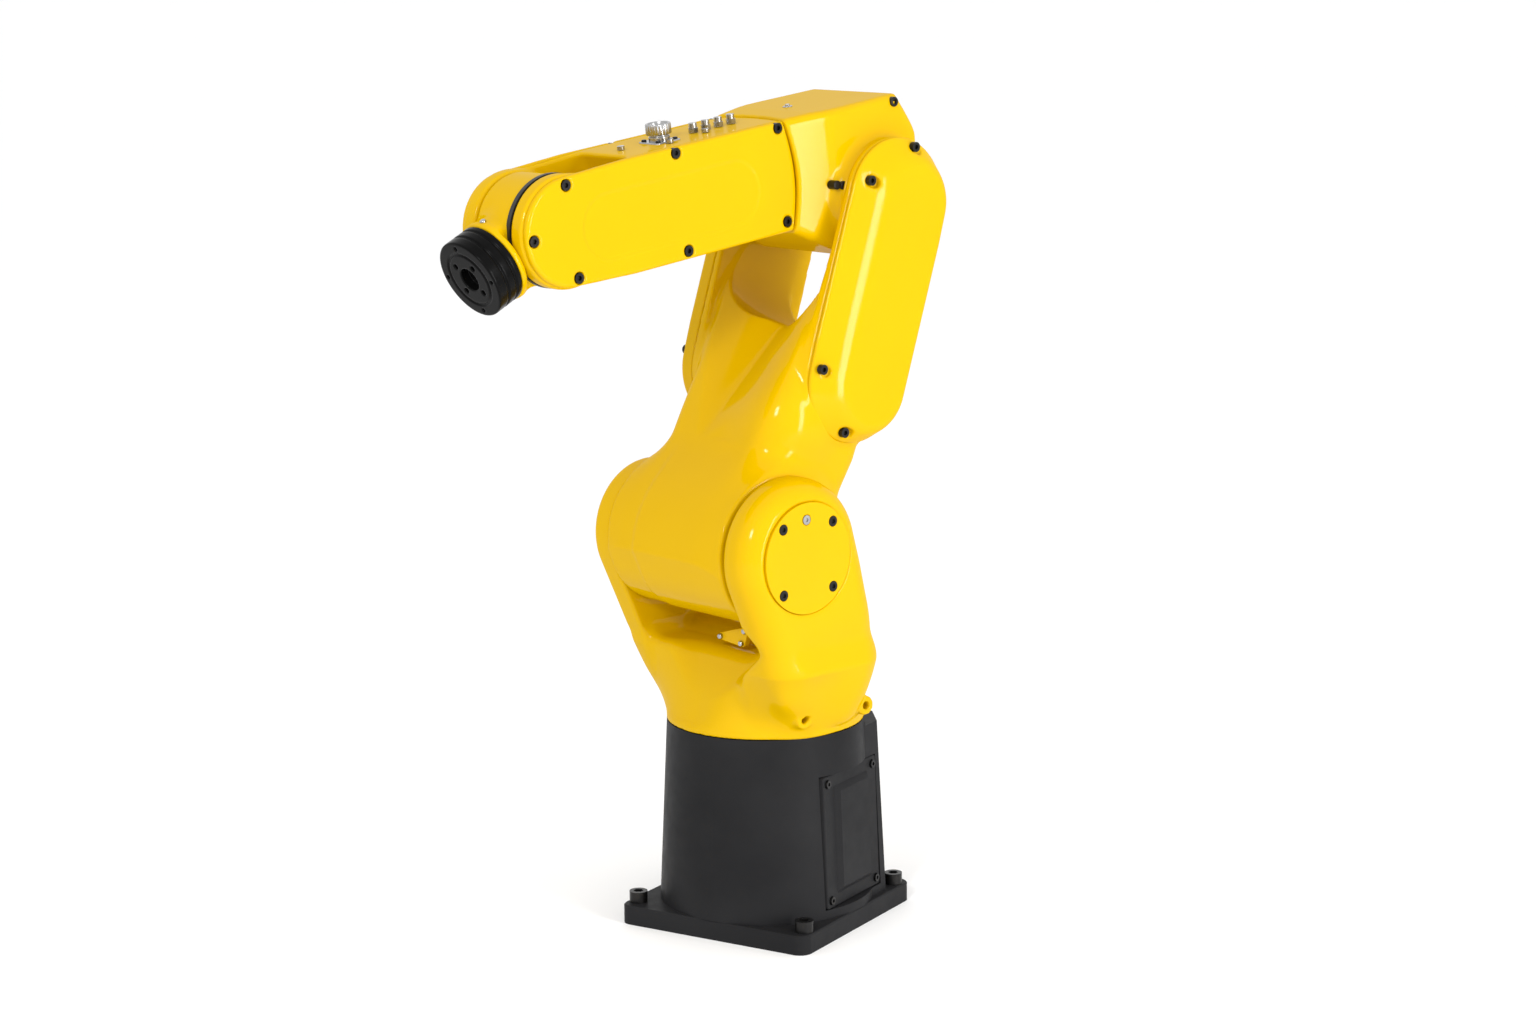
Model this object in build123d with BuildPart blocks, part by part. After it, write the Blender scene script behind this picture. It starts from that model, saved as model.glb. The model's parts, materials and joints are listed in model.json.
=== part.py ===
"""Compact six-axis articulated robot arm: square base plate, tapered base column, turret with two
ears, forked lower arm, elbow, forearm, wrist and tool flange.  Millimetres, +Z up.

Frame: the origin is the centre of the base mounting face, +X is the arm's forward direction with
joint 1 at zero, +Y is the robot's left.  Every link is drawn in its own side view and placed in the
rest pose that the joint angles below give.
"""
import os
from collections import namedtuple
from math import atan2, cos, degrees, radians, sin

from build123d import *

os.makedirs("parts", exist_ok=True)

# ---------------------------------------------------------------- driving dimensions
plate_size = 190.0
plate_thickness = 17.0
plate_corner = 11.0
bolt_x, bolt_y = 79.0, 85.0
column_foot_r, column_top_r = 94.8, 87.0
column_top = 179.4

shoulder_forward = 50.0        # joint 2 axis ahead of the joint 1 axis
shoulder_height = 345.0        # joint 2 axis above the mounting face
lower_arm_length = 320.0       # joint 2 to joint 3
forearm_rise = 35.0            # joint 4 axis above the joint 3 axis
forearm_length = 325.0         # joint 3 to joint 5, along the forearm
flange_reach = 78.0            # joint 5 to the tool face

turn = -17.2                   # joint 1, about +Z
lean = 25.2                    # lower arm, backward from vertical
droop = 7.4                    # forearm, below horizontal
wrist_droop = 27.2             # flange axis, below horizontal

running_gap = 0.5              # between faces of bodies that move past each other
bore_gap = 0.05                # radial, shaft in bore

left_prong_inner, left_prong_outer = 67.3, 92.0
right_prong_inner, right_prong_outer = -67.3, -97.0
prong_r = 52.5
prong_wall = 8.0
motor_along, motor_forward = 160.0, -20.0

ear_left_inner, ear_left_outer, ear_left_r = 74.0, 112.9, 66.0
ear_right_inner, ear_right_outer, ear_right_r = -77.0, -101.3, 60.4
drum_r, drum_neck_r = 65.0, 60.0
cap_r = 47.5

forearm_half_height = 48.0
forearm_face = 43.6
forearm_cover = 5.6
forearm_start = 88.0           # joint 4 split, ahead of joint 3
fork_half_gap = 24.0
wrist_sweep_r = 88.0
flange_r = 34.0

Screw = namedtuple("Screw", "head height shank length socket")
M4 = Screw(3.5, 4.0, 2.0, 8.0, 1.8)
M5 = Screw(4.3, 4.6, 2.5, 9.0, 2.3)
M10 = Screw(8.0, 10.0, 5.0, plate_thickness, 4.6)

# ---------------------------------------------------------------- frames of the links
UP = Vector(0, 0, 1)
forward = Vector(cos(radians(turn)), sin(radians(turn)), 0)
left = Vector(-sin(radians(turn)), cos(radians(turn)), 0)
right = left * -1
leftward = Axis((0, 0, 0), left)


def side_view(origin, tilt):
    """A link's side view from the robot's right: local x is tilt degrees above forward, local y is a
    quarter turn further up, and the normal points to the right."""
    x_dir = forward * cos(radians(tilt)) + UP * sin(radians(tilt))
    return Plane(origin=origin, x_dir=x_dir, z_dir=right)


turret_side = side_view((0, 0, 0), 0)
shoulder = turret_side.from_local_coords(Vector(shoulder_forward, shoulder_height, 0))
arm_side = side_view(shoulder, lean)
elbow = arm_side.from_local_coords(Vector(0, lower_arm_length, 0))
forearm_side = side_view(elbow, -droop)
wrist = forearm_side.from_local_coords(Vector(forearm_length, forearm_rise, 0))
wrist_side = side_view(wrist, -wrist_droop)


def at(side, station):
    """The side view moved to a station, which is a distance to the robot's left of the arm's middle."""
    return side.offset(-station)


def spot(side, x, y, station, outward):
    """A plane on the point (x, y) of a side view at a station, facing outward."""
    origin = side.from_local_coords(Vector(x, y, -station))
    return Plane(origin=origin, x_dir=side.x_dir, z_dir=outward)


def level(height):
    """A horizontal plane at a height, turned with joint 1."""
    return Plane(origin=(0, 0, height), x_dir=forward, z_dir=UP)


def along_axis(side, x, y):
    """A plane square to the side view's local x at (x, y): its own x points left and its y points up."""
    return Plane(origin=side.from_local_coords(Vector(x, y, 0)), x_dir=left, z_dir=side.x_dir)


def discs(*circles):
    """The taut outline round circles given as (x, y, radius)."""
    for x, y, radius in circles:
        with Locations((x, y)):
            Circle(radius)
    make_hull()


def slab(side, start, end, *circles, mode=Mode.ADD):
    """The taut outline round the circles, from station start, on the left, to station end."""
    with BuildSketch(at(side, start)) as outline:
        discs(*circles)
    extrude(outline.sketch, amount=start - end, mode=mode)


def rod(side, start, end, x, y, radius, mode=Mode.ADD):
    """A cylinder across the side view, from station start, on the left, to station end."""
    with BuildSketch(at(side, start)) as outline:
        with Locations((x, y)):
            Circle(radius)
    extrude(outline.sketch, amount=start - end, mode=mode)


def block(side, start, end, *corners, mode=Mode.ADD):
    """A prism on the polygon given by corners, from station start, on the left, to station end."""
    with BuildSketch(at(side, start)) as outline:
        Polygon(*corners, align=None)
    extrude(outline.sketch, amount=start - end, mode=mode)


def disc_on(place, radius, height, mode=Mode.ADD):
    """A cylinder that stands on a plane, or hangs under it when the height is negative."""
    with BuildSketch(place) as outline:
        Circle(radius)
    extrude(outline.sketch, amount=height, mode=mode)


def cap_screws(places, size):
    """Socket-head cap screws whose heads stand on the given planes."""
    for place in places:
        disc_on(place, size.head, size.height)
        disc_on(place, size.shank, -size.length)
        with BuildSketch(place.offset(size.height)) as socket:
            RegularPolygon(size.socket, 6)
        extrude(socket.sketch, amount=-size.height / 2, mode=Mode.SUBTRACT)


def screw_holes(places, size, pocket=0.0):
    """Holes for cap screws seated on the given planes, with room for the head up to pocket above."""
    for place in places:
        disc_on(place, size.shank, -size.length - 1, mode=Mode.SUBTRACT)
        if pocket:
            disc_on(place, size.head + 0.5, pocket, mode=Mode.SUBTRACT)


def save(builder, name):
    """Labels a finished piece and writes its STEP file."""
    builder.part.label = name
    export_step(builder.part, f"parts/{name}.step")


# ================================================================ BASE
bolt_spots = [(sx * bolt_x, sy * bolt_y) for sx in (-1, 1) for sy in (-1, 1)]
column_taper = degrees(atan2(column_foot_r - column_top_r, column_top - plate_thickness))
rear_x, rear_bottom_y, shoulder_y, shoulder_x = -93.0, 64.0, 88.0, -60.0
rear_block_top = 172.0
cover_w, cover_h, cover_t = 92.0, 118.0, 6.0
cover_centre = Vector(-5.0, 84.6, 84.0)
cover_lean = radians(2.2)
cover_face = Plane(origin=cover_centre, x_dir=(-1, 0, 0), z_dir=(0, cos(cover_lean), sin(cover_lean)))
cover_seat = cover_face.offset(-cover_t)
cover_screw_spots = [(sx * (cover_w / 2 - 7), sy * (cover_h / 2 - 7)) for sx in (-1, 1) for sy in (-1, 1)]
cover_screw_planes = [
    Plane(origin=cover_face.from_local_coords(Vector(x, y, -2)), x_dir=(-1, 0, 0), z_dir=cover_face.z_dir)
    for x, y in cover_screw_spots
]
panel_w, panel_h, panel_t, panel_z = 96.0, 118.0, 3.0, 92.0
panel_face = Plane(origin=(rear_x + 3.2, 0, panel_z), x_dir=(0, -1, 0), z_dir=(-1, 0, 0))
panel_screw_planes = [
    Plane(origin=panel_face.from_local_coords(Vector(x, y, panel_t)), x_dir=(0, -1, 0), z_dir=(-1, 0, 0))
    for x in (-42, 42) for y in (-53, 53)
]
hub_r = 60.0
bearing_r = 74.0
bearing_top, bearing_bottom = 176.0, 156.0

with BuildPart() as base_housing:
    with BuildSketch():
        RectangleRounded(plate_size, plate_size, plate_corner)
    extrude(amount=plate_thickness)
    chamfer(base_housing.edges().group_by(Axis.Z)[-1], length=1.2)
    with BuildSketch(Plane.XY.offset(plate_thickness)):
        Circle(column_foot_r)
    extrude(amount=column_top - plate_thickness, taper=column_taper)
    with BuildSketch(Plane.XY.offset(plate_thickness)):
        Polygon(
            (0, -shoulder_y), (0, shoulder_y), (shoulder_x, shoulder_y), (rear_x, rear_bottom_y),
            (rear_x, -rear_bottom_y), (shoulder_x, -shoulder_y), align=None,
        )
    extrude(amount=rear_block_top - plate_thickness, taper=column_taper)
    # the cavity for the drive, open at the top for the turntable
    with BuildSketch(Plane.XY.offset(10)):
        Circle(78)
    extrude(amount=140, mode=Mode.SUBTRACT)
    with BuildSketch(Plane.XY.offset(149)):
        Circle(hub_r + 6)
    extrude(amount=40, mode=Mode.SUBTRACT)
    with BuildSketch(Plane.XY.offset(bearing_bottom)):
        Circle(bearing_r)
    extrude(amount=40, mode=Mode.SUBTRACT)
    # rear opening, behind the connector panel
    with BuildSketch(panel_face):
        Rectangle(panel_w - 14, panel_h - 14)
    extrude(amount=-40, mode=Mode.SUBTRACT)
    with BuildSketch(panel_face):
        Rectangle(panel_w + 1, panel_h + 1)
    extrude(amount=20, mode=Mode.SUBTRACT)
    # seat and opening of the side cover
    with BuildSketch(cover_seat):
        Rectangle(cover_w + 1, cover_h + 1)
    extrude(amount=30, mode=Mode.SUBTRACT)
    with BuildSketch(cover_seat):
        Rectangle(cover_w - 34, cover_h - 34)
    extrude(amount=-20, mode=Mode.SUBTRACT)
    screw_holes(cover_screw_planes, M4)
    screw_holes(panel_screw_planes, M4)
    with Locations(*[(x, y, 0) for x, y in bolt_spots]):
        Cylinder(radius=5.5, height=3 * plate_thickness, mode=Mode.SUBTRACT)
save(base_housing, "base_housing")

with BuildPart() as mounting_bolts:
    cap_screws([Plane(origin=(x, y, plate_thickness)) for x, y in bolt_spots], M10)
save(mounting_bolts, "mounting_bolts")

with BuildPart() as base_side_cover:
    with BuildSketch(cover_seat):
        RectangleRounded(cover_w, cover_h, 3)
    extrude(amount=cover_t)
    fillet(base_side_cover.faces().sort_by(Axis.Y)[-1].edges(), radius=1.2)
    with BuildSketch(cover_face):
        with Locations((1, 0)):
            Rectangle(cover_w - 34, cover_h - 22)
    extrude(amount=4, taper=50)
    screw_holes(cover_screw_planes, M4, pocket=8)
save(base_side_cover, "base_side_cover")

with BuildPart() as base_side_cover_screws:
    cap_screws(cover_screw_planes, M4)
save(base_side_cover_screws, "base_side_cover_screws")

connector_spots = [(-24, 22, 17), (22, 26, 12)]
air_port_spots = [(-24, -26, 7), (0, -26, 7), (24, -26, 7)]
with BuildPart() as base_rear_panel:
    with BuildSketch(panel_face):
        RectangleRounded(panel_w, panel_h, 3)
        for x, y, radius in connector_spots + air_port_spots:
            with Locations((x, y)):
                Circle(radius, mode=Mode.SUBTRACT)
    extrude(amount=panel_t)
    screw_holes(panel_screw_planes, M4)
save(base_rear_panel, "base_rear_panel")

with BuildPart() as rear_panel_screws:
    cap_screws(panel_screw_planes, M4)
save(rear_panel_screws, "rear_panel_screws")

with BuildPart() as rear_connectors:
    for x, y, radius in connector_spots:
        with BuildSketch(panel_face.offset(-10)):
            with Locations((x, y)):
                Circle(radius)
        extrude(amount=10 + panel_t)
        with BuildSketch(panel_face.offset(panel_t)):
            with Locations((x, y)):
                Circle(radius + 2)
        extrude(amount=4)
        with BuildSketch(panel_face.offset(panel_t)):
            with Locations((x, y)):
                Circle(radius - 1)
        extrude(amount=14)
        with BuildSketch(panel_face.offset(panel_t + 14)):
            with Locations((x, y)):
                Circle(radius - 3)
        extrude(amount=-10, mode=Mode.SUBTRACT)
save(rear_connectors, "rear_connectors")

with BuildPart() as rear_air_ports:
    for x, y, radius in air_port_spots:
        with BuildSketch(panel_face.offset(-10)):
            with Locations((x, y)):
                Circle(radius)
        extrude(amount=10 + panel_t)
        with BuildSketch(panel_face.offset(panel_t)):
            with Locations((x, y)):
                RegularPolygon(radius + 2, 6)
        extrude(amount=5)
        with BuildSketch(panel_face.offset(panel_t + 5)):
            with Locations((x, y)):
                Circle(3)
        extrude(amount=-12, mode=Mode.SUBTRACT)
save(rear_air_ports, "rear_air_ports")

with BuildPart() as j1_bearing:
    with BuildSketch(Plane.XY.offset(bearing_bottom)):
        Circle(bearing_r)
        Circle(hub_r + bore_gap, mode=Mode.SUBTRACT)
    extrude(amount=bearing_top - bearing_bottom)
save(j1_bearing, "j1_bearing")

with BuildPart() as j1_reducer:
    with BuildSketch(Plane.XY.offset(118)):
        Circle(56)
    extrude(amount=30)
    chamfer(j1_reducer.edges(), length=2)
save(j1_reducer, "j1_reducer")

with BuildPart() as j1_motor:
    with BuildSketch(Plane.XY.offset(14)):
        RectangleRounded(60, 60, 6)
    extrude(amount=84)
    with BuildSketch(Plane.XY.offset(98)):
        Circle(30)
    extrude(amount=20)
save(j1_motor, "j1_motor")

# ================================================================ TURRET (joint 1)
turret_bottom = column_top + running_gap
waist = 243.0
jx, jz = shoulder_forward, shoulder_height
stub_r, far_stub_r = 40.0, 30.0
left_stub_end, right_stub_end = 94.0, -90.0
cap_seat = ear_left_outer - 3.0
cap_screw_square = 28.0
boss_spots = [(36.0, 199.0), (-36.0, 199.0)]
boss_r, boss_end, eyebolt_r = 8.5, 92.0, 3.4


def plan(height, *circles):
    """The taut outline, at a height, round circles given in the turret's plan."""
    with BuildSketch(level(height)) as outline:
        discs(*circles)
    return outline.sketch


cap_screw_planes = [
    spot(turret_side, jx + x * cap_screw_square, jz + z * cap_screw_square, ear_left_outer - 2.6, left)
    for x in (-1, 1) for z in (-1, 1)
]
vent_plane = spot(turret_side, jx + 2, jz + 33, ear_left_outer - 1.5, left)
right_cover_planes = [
    spot(turret_side, jx + x * 28, jz + z * 28, ear_right_outer - 3, right) for x in (-1, 1) for z in (-1, 1)
]

below_waist = ((-200, 0), (300, 0), (300, waist - 1), (-200, waist - 1))
with BuildPart() as left_ear:
    ear_foot = ((12, waist, 54), (30, waist, 44))
    slab(turret_side, ear_left_outer, ear_left_inner, (jx, jz, ear_left_r), *ear_foot)
    fillet(left_ear.faces().sort_by(leftward)[-1].edges(), radius=22)
    block(turret_side, 200, -200, *below_waist, mode=Mode.SUBTRACT)

with BuildPart() as right_ear:
    ear_foot = ((2, waist, 38), (22, waist, 38))
    slab(turret_side, ear_right_inner, ear_right_outer, (jx, jz, ear_right_r), *ear_foot)
    fillet(right_ear.faces().sort_by(leftward)[0].edges(), radius=8)
    block(turret_side, 200, -200, *below_waist, mode=Mode.SUBTRACT)

foot_top = turret_bottom + 9
with BuildPart() as turret_frame:
    disc_on(level(turret_bottom), column_top_r, foot_top - turret_bottom)
    # the flared body, from the round foot to the rounded waist that carries the ears
    with BuildSketch(level(foot_top)) as foot:
        Circle(column_top_r)
    waist_outline = plan(waist, (48, -80.3, 21), (-14, -80.3, 21), (-14, 84.9, 28), (46, 84.9, 28))
    loft([foot.sketch, waist_outline], ruled=True)
    add(left_ear.part)
    add(right_ear.part)
    # low web behind the drum, then the ramp that is scooped out of the front between the ears
    block(turret_side, ear_left_inner + 1, ear_right_inner - 1,
          (-40, waist - 2), (-40, waist + 17), (-10, waist + 26), (20, waist + 19), (60, waist - 2))
    block(turret_side, 60, -68, (120, 198), (86, 200), (77, 222), (52, 252), (20, 268), (20, 300), (120, 300),
          mode=Mode.SUBTRACT)
    # hub that turns in the base bearing, hollow for the cables
    disc_on(level(bearing_bottom + 1), hub_r, turret_bottom - bearing_bottom)
    disc_on(level(bearing_bottom), 30, 60, mode=Mode.SUBTRACT)
    # shoulder bores
    rod(turret_side, ear_left_outer, ear_left_inner - 1, jx, jz, stub_r + bore_gap, mode=Mode.SUBTRACT)
    rod(turret_side, ear_left_outer + 1, cap_seat, jx, jz, cap_r + 0.3, mode=Mode.SUBTRACT)
    rod(turret_side, ear_right_inner + 1, right_stub_end - 1, jx, jz, far_stub_r + bore_gap, mode=Mode.SUBTRACT)
    # tapped bosses for lifting eyebolts
    for x, z in boss_spots:
        rod(turret_side, boss_end, 62, x, z, boss_r)
        rod(turret_side, boss_end, boss_end - 16, x, z, eyebolt_r, mode=Mode.SUBTRACT)
save(turret_frame, "turret_frame")

with BuildPart() as j2_cap:
    rod(turret_side, ear_left_outer, cap_seat + 0.1, jx, jz, cap_r)
    screw_holes(cap_screw_planes + [vent_plane], M5, pocket=6)
save(j2_cap, "j2_cap")

with BuildPart() as j2_cap_screws:
    cap_screws(cap_screw_planes, Screw(4.3, 3.0, 2.5, 0.4, 2.3))
save(j2_cap_screws, "j2_cap_screws")

with BuildPart() as j2_vent_plug:
    cap_screws([vent_plane], Screw(4.0, 1.8, 2.5, 1.3, 2.0))
save(j2_vent_plug, "j2_vent_plug")

with BuildPart() as right_ear_cover:
    rod(turret_side, ear_right_outer, ear_right_outer - 3, jx, jz, cap_r)
    fillet(right_ear_cover.edges().sort_by(leftward)[0], radius=1.2)
    screw_holes(right_cover_planes, Screw(4.3, 0, 2.5, 3, 0))
save(right_ear_cover, "right_ear_cover")

with BuildPart() as right_ear_screws:
    cap_screws(right_cover_planes, Screw(4.3, 2.6, 2.5, 2.8, 2.3))
save(right_ear_screws, "right_ear_screws")

with BuildPart() as j2_motor:
    rod(turret_side, cap_seat - 0.5, left_stub_end + 1, jx, jz, 36)
save(j2_motor, "j2_motor")

bracket_t = 1.6
bracket_at = 60
bracket_corner_r = 3
bracket_screw_r = 2.6
bracket_points = ((62, 262), (86, 270), (80, 252))
with BuildPart() as ground_bracket:
    with BuildSketch(at(turret_side, bracket_at)) as outline:
        discs(*[(x, z, bracket_corner_r) for x, z in bracket_points])
    extrude(outline.sketch, amount=bracket_t)
save(ground_bracket, "ground_bracket")

with BuildPart() as ground_bracket_screws:
    for x, z in bracket_points:
        head_face = bracket_at - bracket_t
        rod(turret_side, head_face, head_face - 3, x, z, bracket_screw_r)
save(ground_bracket_screws, "ground_bracket_screws")

# ================================================================ LOWER ARM (joint 2)
fork_floor_r = 124.0
wall_end_left = left_prong_inner + prong_wall
wall_end_right = right_prong_inner - prong_wall
cover_gap = 0.2
elbow_stub_r = 30.0
prong_circles = ((0, lower_arm_length, prong_r), (motor_forward, motor_along, prong_r))
bevel_back, bevel_r = -12.0, 38.0
bevel_circles = ((bevel_back, lower_arm_length, bevel_r), (motor_forward + bevel_back, motor_along, bevel_r))
far_bevel_circles = ((-2, lower_arm_length, prong_r - 6), (motor_forward - 2, motor_along, prong_r - 6))
prong_screw_spots = [(41.0, 321.0), (5.0, 366.0), (26.0, 156.0), (-20.0, 115.0)]
valley_ends = ((83, 40, -17, 56.5, 50), (240, -3.3, 6, 26, 43))    # along, then valley_section's sizes


def arm_section(along, *circles):
    """The taut outline, across the lower arm, round circles given as (front, left, radius)."""
    plane = Plane(origin=arm_side.from_local_coords(Vector(0, along, 0)), x_dir=arm_side.x_dir,
                  z_dir=arm_side.y_dir)
    with BuildSketch(plane) as outline:
        discs(*circles)
    return outline.sketch


def valley_section(along, front, station, right_bank, left_bank):
    """The cut of the front valley: its bed and, inside the prongs, the height of each bank."""
    plane = Plane(origin=arm_side.from_local_coords(Vector(0, along, 0)), x_dir=arm_side.x_dir,
                  z_dir=arm_side.y_dir)
    with BuildSketch(plane) as outline:
        Polygon((front, station), (left_bank, 67), (90, 67), (90, -67), (right_bank, -67), align=None)
    return outline.sketch


def prong_screw_planes(station, outward):
    """Screw seats of a prong cover, sunk in its bevel."""
    return [spot(arm_side, x, y, station, outward) for x, y in prong_screw_spots]


def prong_cover(inner, shoulder_at, outer, top_circles, seats):
    """A long cover with a wide bevel along its front edge, and slot pockets for its screws."""
    with BuildPart() as cover:
        slab(arm_side, max(inner, shoulder_at), min(inner, shoulder_at), *prong_circles)
        with BuildSketch(at(arm_side, shoulder_at)) as base:
            discs(*prong_circles)
        with BuildSketch(at(arm_side, outer)) as top:
            discs(*top_circles)
        loft([base.sketch, top.sketch])
        for place in seats:
            disc_on(place, M5.shank, -20, mode=Mode.SUBTRACT)
            with BuildSketch(place) as pocket:
                SlotCenterPoint(center=(-3, 0), point=(0, 0), height=2 * M5.head + 1.4)
            extrude(pocket.sketch, amount=20, mode=Mode.SUBTRACT)
    return cover


with BuildPart() as lower_arm_casting:
    rod(arm_side, ear_left_inner - running_gap, -38, 0, 0, drum_r)
    rod(arm_side, -37, ear_right_inner + running_gap, 0, 0, drum_neck_r)
    rod(arm_side, left_stub_end, ear_left_inner - 1, 0, 0, stub_r)
    rod(arm_side, ear_right_inner + 1, right_stub_end, 0, 0, far_stub_r)
    # the trunk, from the drum to the fork
    loft([
        arm_section(10, (36, -58, 6), (14, 36, 28), (-40, 50, 14), (-38, -48, 16)),
        arm_section(100, (34, -58, 8), (16, 38, 26), (-43, 48, 14), (-41, -50, 16)),
        arm_section(224, (34, -66, 8), (33, 66, 8), (-40, 65, 10), (-40, -64, 10)),
    ], ruled=True)
    for start, end in ((wall_end_left, left_prong_inner), (right_prong_inner, wall_end_right)):
        slab(arm_side, start, end, *prong_circles)
    rod(arm_side, wall_end_left, wall_end_right, motor_forward, motor_along, prong_r - 2)
    # a valley that opens up the front: a gentle slope to its right and a steeper one to its left
    loft([valley_section(*end) for end in valley_ends], ruled=True, mode=Mode.SUBTRACT)
    # the fork: round inner corners, then the elbow's swing behind them
    with BuildSketch(Plane(origin=arm_side.origin, x_dir=left, z_dir=arm_side.x_dir)) as gap:
        discs((67.3 - 42, 240, 42), (67.3 - 42, 420, 42), (-67.3 + 50, 254, 50), (-67.3 + 50, 420, 50))
    extrude(gap.sketch, amount=90, both=True, mode=Mode.SUBTRACT)
    rod(arm_side, 46, -46, 0, lower_arm_length, fork_floor_r, mode=Mode.SUBTRACT)
    # bores for the elbow's stubs and the joint 3 motor
    rod(arm_side, wall_end_left, wall_end_right, 0, lower_arm_length, elbow_stub_r + bore_gap,
        mode=Mode.SUBTRACT)
    rod(arm_side, wall_end_left, 10, motor_forward, motor_along, 30, mode=Mode.SUBTRACT)
save(lower_arm_casting, "lower_arm_casting")

with BuildPart() as j3_motor:
    rod(arm_side, wall_end_left - 0.3, 12, motor_forward, motor_along, 28)
save(j3_motor, "j3_motor")

left_prong_seats = prong_screw_planes(82.5, left)
right_prong_seats = prong_screw_planes(-89.0, right)
left_prong_cover = prong_cover(wall_end_left + cover_gap, 80, left_prong_outer, bevel_circles, left_prong_seats)
save(left_prong_cover, "left_prong_cover")
right_prong_cover = prong_cover(wall_end_right - cover_gap, -88, right_prong_outer, far_bevel_circles,
                                right_prong_seats)
save(right_prong_cover, "right_prong_cover")

for name, seats in (("left_prong_screws", left_prong_seats), ("right_prong_screws", right_prong_seats)):
    with BuildPart() as prong_screws:
        cap_screws(seats, Screw(M5.head, M5.height, M5.shank, 6.8, M5.socket))
    save(prong_screws, name)

# ================================================================ ELBOW (joint 3)
elbow_front = forearm_start - 0.6
elbow_half_hub = left_prong_inner - running_gap
forearm_top, forearm_bottom = forearm_rise + forearm_half_height, forearm_rise - forearm_half_height
j4_tube_r, j4_tube_back = 30.0, 56.0

with BuildPart() as elbow_housing:
    block(forearm_side, 60, -60, (elbow_front, forearm_top), (-30, forearm_top + 2), (-56, 40), (-50, 0),
          (-20, -44), (36, -44), (66, forearm_bottom), (elbow_front, forearm_bottom))
    with BuildSketch(Plane(origin=forearm_side.origin, x_dir=forearm_side.x_dir, z_dir=forearm_side.y_dir)) as roof:
        Polygon((elbow_front, -46), (elbow_front - 5, -51), (45, -58), (-60, -55), (-60, 55), (45, 58),
                (elbow_front - 5, 51), (elbow_front, 46), align=None)
    extrude(roof.sketch, amount=200, both=True, mode=Mode.INTERSECT)
    rod(forearm_side, elbow_half_hub, -elbow_half_hub, 0, 0, 50)
    rod(forearm_side, wall_end_left - 1, -wall_end_left + 1, 0, 0, elbow_stub_r)
    disc_on(along_axis(forearm_side, elbow_front, forearm_rise), j4_tube_r + bore_gap, -40, mode=Mode.SUBTRACT)
    disc_on(along_axis(forearm_side, elbow_front, forearm_rise), 25, -100, mode=Mode.SUBTRACT)
save(elbow_housing, "elbow_housing")

with BuildPart() as j4_motor:
    disc_on(along_axis(forearm_side, elbow_front - 46, forearm_rise), 24.5, -50)
save(j4_motor, "j4_motor")

with BuildPart() as elbow_screws:
    cap_screws([spot(forearm_side, -24, forearm_top - 6, 57, left)], Screw(4.3, 4, 2.5, 0.1, 2.3))
    cap_screws([Plane(origin=forearm_side.from_local_coords(Vector(44, forearm_top + 1.05, 0)),
                      x_dir=forearm_side.x_dir, z_dir=forearm_side.y_dir)], Screw(4.3, 3, 2.5, 0.1, 2.3))
save(elbow_screws, "elbow_screws")

with BuildPart() as elbow_stop:
    slab(forearm_side, 65, 58.4, (57, 17, 6), (64, 19, 6))
save(elbow_stop, "elbow_stop")

# ================================================================ FOREARM (joint 4)
fx, fz = forearm_length, forearm_rise
cover_inner = forearm_face - forearm_cover
wall_inner = 34.4
side_circles = ((fx, fz, forearm_half_height), (forearm_start + 4, forearm_top - 4, 4),
                (forearm_start + 4, forearm_bottom + 4, 4))
frame_circles = ((fx, fz, forearm_half_height - 0.6), (forearm_start + 4, forearm_top - 4.6, 4),
                 (forearm_start + 4, forearm_bottom + 4.6, 4))
side_screw_spots = [(fx - 1, fz + 38), (fx - 117, fz + 42), (forearm_start + 7, fz + 42),
                    (forearm_start + 7, fz - 38), (fx - 119, fz - 40), (fx - 3, fz - 38), (fx + 37, fz)]
axle_r = 20.0

with BuildPart() as forearm_frame:
    slab(forearm_side, cover_inner - 0.1, -cover_inner + 0.1, *frame_circles)
    # room for the flange to swing between the side walls
    rod(forearm_side, wall_inner, -wall_inner, fx, fz, wrist_sweep_r, mode=Mode.SUBTRACT)
    block(forearm_side, wall_inner, -wall_inner, (fx - 92, fz - 30), (fx - 62, fz - 20), (fx - 62, fz + 20),
          (fx - 92, fz + 32))
    for start, end in ((wall_inner, fork_half_gap), (-fork_half_gap, -wall_inner)):
        rod(forearm_side, start, end, fx, fz, forearm_half_height - 0.6)
        rod(forearm_side, start, end, fx, fz, axle_r + bore_gap, mode=Mode.SUBTRACT)
    disc_on(along_axis(forearm_side, forearm_start + 3, fz), j4_tube_r, j4_tube_back - forearm_start - 3)
    # cavity for the wrist motors
    block(forearm_side, 30, -30, (forearm_start + 14, 2), (fx - 100, 2), (fx - 100, 70),
          (forearm_start + 14, 70), mode=Mode.SUBTRACT)
save(forearm_frame, "forearm_frame")

for name, face, outward in (("forearm_left", forearm_face, left), ("forearm_right", -forearm_face, right)):
    inner = cover_inner if face > 0 else -cover_inner
    seat_station = face - 4.6 if face > 0 else face + 4.6
    seats = [spot(forearm_side, x, y, seat_station, outward) for x, y in side_screw_spots]
    with BuildPart() as side_cover:
        slab(forearm_side, max(face, inner), min(face, inner), *side_circles)
        outer_face = side_cover.faces().sort_by(leftward)[-1 if face > 0 else 0]
        fillet(outer_face.edges(), radius=1.6)
        for place in seats:
            disc_on(place, M5.head + 0.4, 6, mode=Mode.SUBTRACT)
            disc_on(place, M5.shank, -6, mode=Mode.SUBTRACT)
    save(side_cover, name + "_cover")
    with BuildPart() as cover_screws:
        cap_screws(seats, Screw(M5.head, M5.height - 0.2, M5.shank, 0.9, M5.socket))
    save(cover_screws, name + "_cover_screws")

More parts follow.
